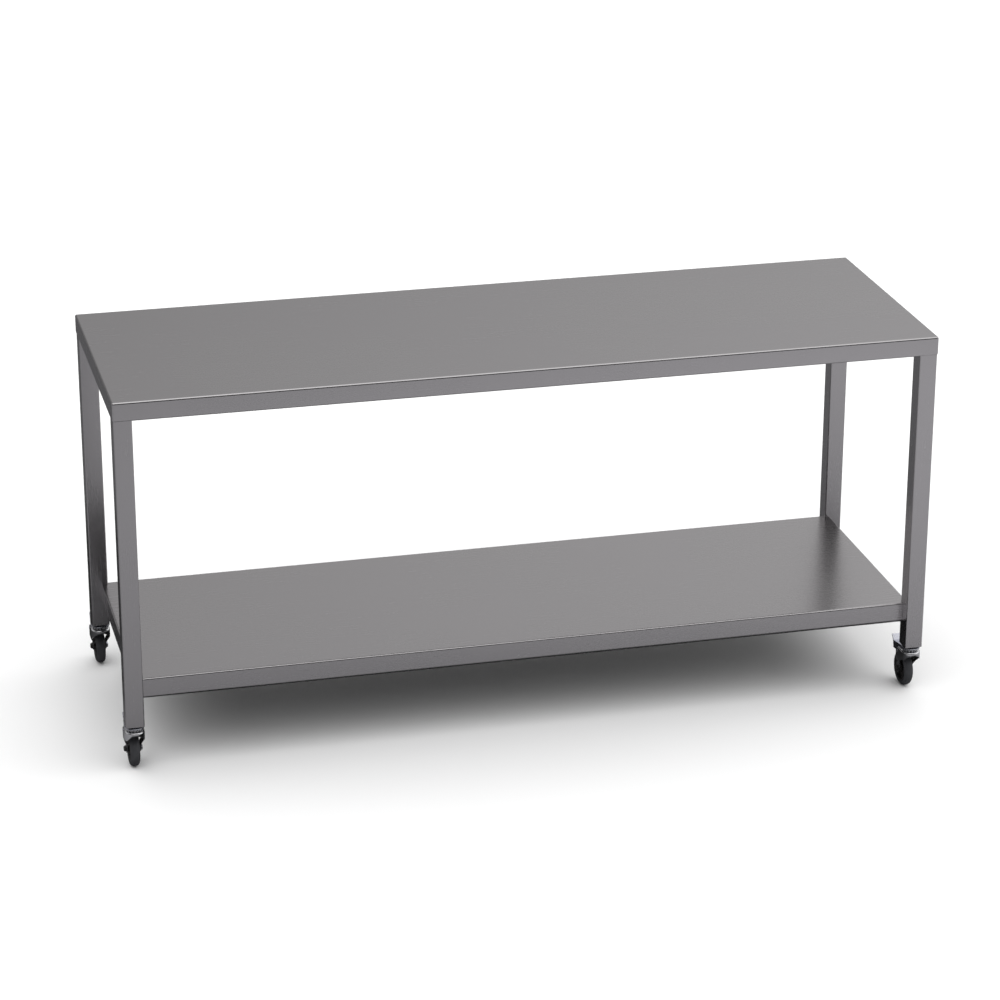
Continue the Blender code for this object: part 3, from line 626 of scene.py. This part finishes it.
def brake_pin_mesh():
    """Rivet through the fork, with a low domed head at each end."""
    wall = FORK_HIGH.x + 0.0002
    right = [(PIN_RADIUS, wall), (0.0040, wall)] + arc((0.0028, wall), 0.0012, 10, 80, 5)
    right.append((0.0, wall + 0.0013))
    left = [(0.0, -wall - 0.0010)] + arc((0.0024, -wall), 0.0009, -80, -10, 4)
    left += [(0.0033, -wall), (PIN_RADIUS, -wall)]
    return turned_mesh(left + right, 32, Matrix.Translation(PIN) @ ACROSS)


# ---------------------------------------------------------------- placing the casters
def place(corner):
    post = POSTS[corner]
    return Matrix.Translation((post.x, post.y, 0.0))


def placed_copy(mesh, matrix):
    copy = mesh.copy()
    copy.transform(matrix)
    return copy


def add_casters():
    cage, balls = ball_race_meshes()
    axle = Matrix.Translation(AXLE)
    shared = [
        ("stem_and_raceway_cap", stem_mesh(), ZINC, "table", "zinc", "caster_stem", Matrix()),
        ("race_cage", cage, MILL_STEEL, "caster", "steel", "ball_race", Matrix()),
        ("race_balls", balls, BALL_STEEL, "caster", "steel", "ball_race", Matrix()),
        ("pressed_fork", fork_mesh(), CHROME, "caster", "chrome", "fork", Matrix()),
        ("axle_bolt_and_washer", axle_bolt_mesh(), ZINC, "caster", "zinc", "axle_bolt", Matrix()),
        ("axle_cap_nut", axle_cap_mesh(), BLACK_PLASTIC, "caster", "black_plastic", "axle_cap", Matrix()),
        ("brake_rivet", brake_pin_mesh(), ZINC, "caster", "zinc", "brake_pin", Matrix()),
        ("hub_moulding", hub_mesh(), BLACK_PLASTIC, "wheel", "black_plastic", "wheel_hub", axle),
        ("hub_ribs", spoke_rib_mesh(), BLACK_PLASTIC, "wheel", "black_plastic", "wheel_hub", axle),
        ("tyre_tread", tyre_mesh(), RUBBER, "wheel", "rubber", "tyre", axle),
    ]
    for corner in CORNERS:
        for name, mesh, material, part, slot, node, matrix in shared:
            body = "table" if part == "table" else part + "_" + corner
            copy = placed_copy(mesh, place(corner) @ matrix)
            add_piece(name + "_" + corner, copy, material, body, slot, node + "_" + corner)
        pedal, shoe = "brake_pedal_" + corner, "brake_shoe_" + corner
        pressing, block = rounded_copy(pedal, 0.0005), rounded_copy(shoe, 0.0005)
        body = "brake_" + corner
        add_flat_piece(pedal + "_pressing", pressing, ZINC, body, "zinc", pedal)
        add_flat_piece(shoe + "_block", block, GREY_PLASTIC, body, "grey_plastic", shoe)


add_sheets()
add_legs()
add_supports()
add_casters()

# ---------------------------------------------------------------- floor, light and camera
FLOOR_HALF_SIZE = 45.0
FLOOR_WHITE = 0.90
KEY_STRENGTH = 2.45
KEY_ANGLE = 112.0
KEY_TILT = (10.0, -5.0, 20.0)

# What the metal mirrors below the horizon: grey ground, a little lighter on the right, darker far in front
# and behind the table, with painted shade close to the table's front and still darker patches of painted
# shadow round the table.
GROUND_GREY = 0.0795
GROUND_TILT = 0.13
GROUND_TINT = (1.0, 1.0, 1.03)
GROUND_TONE_AND_SHADE_BANDS = [                        # from this y, to this y, times this share
    (-5.50, -3.00, 4.00),
    # painted shade: the ground made darker close to the table's front
    (-2.20, -0.60, 0.82),
    (0.05, 0.60, 0.36),
    (0.90, 1.40, 1.10),
]
# Painted shadow of the table on the mirrored ground, in soft-edged patches.
PAINTED_SHADOW_PATCHES = [                      # low corner, high corner, width of the soft edge, share
    ((-0.68, -0.40), (0.94, 0.42), 0.18, 0.15),     # painted shadow under the table
    ((-0.94, -0.46), (-0.66, -0.31), 0.06, 0.15),   # painted shadow at its front left corner
    ((-1.60, 0.15), (-0.75, 1.00), 0.35, 0.25),     # painted shadow behind its left end
]

# What it mirrors above the horizon: a dim room with soft zones. Each zone has a direction, the
# angle from it at which the zone fades out, and how much it adds to the room's brightness.
ROOM_BRIGHTNESS = 0.07
ROOM_ZONES = [
    ((0.62, 0.14, 0.77), 90.0, 0.62),       # large soft panel, high on the right
    ((0.25, -0.92, 0.30), 50.0, -0.22),     # the dark side of the room, in front
    ((-0.80, 0.50, 0.33), 48.0, 0.32),      # soft panel on the left, behind
    ((0.90, -0.35, 0.25), 42.0, 0.36),      # soft panel on the right, in front
    ((0.00, -0.20, 1.00), 42.0, 0.60),      # ceiling panel
]


def add_plane(name, height):
    shape = bmesh.new()
    bmesh.ops.create_grid(shape, x_segments=1, y_segments=1, size=FLOOR_HALF_SIZE)
    bmesh.ops.translate(shape, vec=(0.0, 0.0, height), verts=shape.verts)
    plane = bpy.data.objects.new(name, to_mesh(shape, name))
    bpy.context.scene.collection.objects.link(plane)
    return plane


def matte_material(name):
    material, tree, shader = new_material(name, 0.0)
    shader.inputs["Roughness"].default_value = 1.0
    shader.inputs["Specular IOR Level"].default_value = 0.0
    return material, tree, shader


def add_floor():
    floor = add_plane("studio_floor", 0.0)
    material, tree, shader = matte_material("pale_floor")
    shader.inputs["Base Color"].default_value = (FLOOR_WHITE, FLOOR_WHITE, FLOOR_WHITE, 1.0)
    floor.data.materials.append(material)
    floor.visible_glossy = False


def painted_shadow_patch(tree, split, low, high, fade, share):
    """Painted shadow: the share inside a rectangle on the ground and 1 outside it, with soft edges."""
    inside = 1.0
    for axis, start, end in (("X", low[0], high[0]), ("Y", low[1], high[1])):
        for outer, inner in ((start - fade, start), (end + fade, end)):
            settings = {"Value": split.outputs[axis], "From Min": outer, "From Max": inner}
            rise = add_node(tree, "ShaderNodeMapRange", settings, interpolation_type="SMOOTHSTEP")
            inside = math_node(tree, "MULTIPLY", rise.outputs["Result"], inside)
    return remap(tree, inside, 1.0, share, 0.0, 1.0)


def add_mirrored_ground():
    """A grey ground that only reflections see, so that the metal has something dark to mirror."""
    ground = add_plane("mirrored_ground", 0.0002)
    material, tree, shader = matte_material("grey_ground")
    place = add_node(tree, "ShaderNodeTexCoord").outputs["Object"]
    split = add_node(tree, "ShaderNodeSeparateXYZ", {"Vector": place})
    grey = math_node(tree, "MULTIPLY", split.outputs["X"], GROUND_TILT * GROUND_GREY)
    grey = math_node(tree, "MINIMUM", math_node(tree, "ADD", grey, GROUND_GREY), 1.2 * GROUND_GREY)
    grey = math_node(tree, "MAXIMUM", grey, 0.8 * GROUND_GREY)
    # Tone bands along y; the band close to the table's front is painted shade.
    for start, end, share in GROUND_TONE_AND_SHADE_BANDS:
        settings = {"Value": split.outputs["Y"], "From Min": start, "From Max": end,
                    "To Min": 1.0, "To Max": share}
        fade = add_node(tree, "ShaderNodeMapRange", settings, interpolation_type="SMOOTHSTEP")
        grey = math_node(tree, "MULTIPLY", grey, fade.outputs["Result"])
    # Painted shadow of the table, multiplied into the ground's grey.
    for patch in PAINTED_SHADOW_PATCHES:
        grey = math_node(tree, "MULTIPLY", grey, painted_shadow_patch(tree, split, *patch))
    tree.links.new(stretched(tree, grey, GROUND_TINT), shader.inputs["Base Color"])
    ground.data.materials.append(material)
    ground.visible_camera = False
    ground.visible_diffuse = False
    ground.visible_shadow = False
    ground.visible_transmission = False
    ground.visible_volume_scatter = False


def add_backdrop():
    """A white dome that only the camera sees, so that low views have no dark horizon."""
    shape = bmesh.new()
    bmesh.ops.create_uvsphere(shape, u_segments=48, v_segments=24, radius=FLOOR_HALF_SIZE * 1.3)
    dome = bpy.data.objects.new("studio_backdrop", to_mesh(shape, "studio_backdrop"))
    bpy.context.scene.collection.objects.link(dome)
    material = bpy.data.materials.new("backdrop_white")
    material.use_nodes = True
    tree = material.node_tree
    tree.nodes.clear()
    glow = add_node(tree, "ShaderNodeEmission", {"Strength": 1.0})
    output = add_node(tree, "ShaderNodeOutputMaterial")
    tree.links.new(glow.outputs[0], output.inputs["Surface"])
    dome.data.materials.append(material)
    dome.visible_glossy = False
    dome.visible_diffuse = False
    dome.visible_transmission = False
    dome.visible_volume_scatter = False
    dome.visible_shadow = False


def add_key_light():
    """A large soft overhead light for the floor and the matte pieces; the metal mirrors the room."""
    light = bpy.data.lights.new("key_light", "SUN")
    light.energy = KEY_STRENGTH
    light.angle = math.radians(KEY_ANGLE)
    lamp = bpy.data.objects.new("key_light", light)
    lamp.rotation_euler = [math.radians(angle) for angle in KEY_TILT]
    lamp.visible_glossy = False
    bpy.context.scene.collection.objects.link(lamp)


def add_room_light():
    world = bpy.data.worlds.new("studio_room")
    bpy.context.scene.world = world
    world.use_nodes = True
    tree = world.node_tree
    direction = add_node(tree, "ShaderNodeTexCoord").outputs["Generated"]
    total = ROOM_BRIGHTNESS
    for zone, reach, brightness in ROOM_ZONES:
        middle = Vector(zone).normalized()
        facing = add_node(tree, "ShaderNodeVectorMath", {0: direction, 1: middle}, operation="DOT_PRODUCT")
        settings = {"Value": facing.outputs["Value"], "From Min": math.cos(math.radians(reach)),
                    "From Max": 1.0, "To Min": 0.0, "To Max": brightness}
        glow = add_node(tree, "ShaderNodeMapRange", settings, interpolation_type="SMOOTHSTEP")
        total = math_node(tree, "ADD", glow.outputs["Result"], total)
    total = math_node(tree, "MAXIMUM", total, 0.0)
    background = tree.nodes["Background"]
    background.inputs["Color"].default_value = (1.0, 1.0, 1.0, 1.0)
    tree.links.new(total, background.inputs["Strength"])


CAMERA_PLACE = (-1.654, -6.639, 3.124)
CAMERA_YAW, CAMERA_PITCH, CAMERA_ROLL = 14.000, 21.524, 0.101
CAMERA_LENS = 118.05


def add_camera():
    camera = bpy.data.cameras.new("camera")
    camera.sensor_width = 36.0
    camera.lens = CAMERA_LENS
    camera.clip_end = 200.0
    holder = bpy.data.objects.new("camera", camera)
    holder.matrix_world = (Matrix.Translation(CAMERA_PLACE)
                           @ Matrix.Rotation(math.radians(-CAMERA_YAW), 4, "Z")
                           @ Matrix.Rotation(math.radians(90 - CAMERA_PITCH), 4, "X")
                           @ Matrix.Rotation(math.radians(CAMERA_ROLL), 4, "Z"))
    bpy.context.scene.collection.objects.link(holder)
    bpy.context.scene.camera = holder


add_floor()
add_mirrored_ground()
add_backdrop()
add_key_light()
add_room_light()
add_camera()
bpy.context.scene.view_settings.view_transform = "Standard"
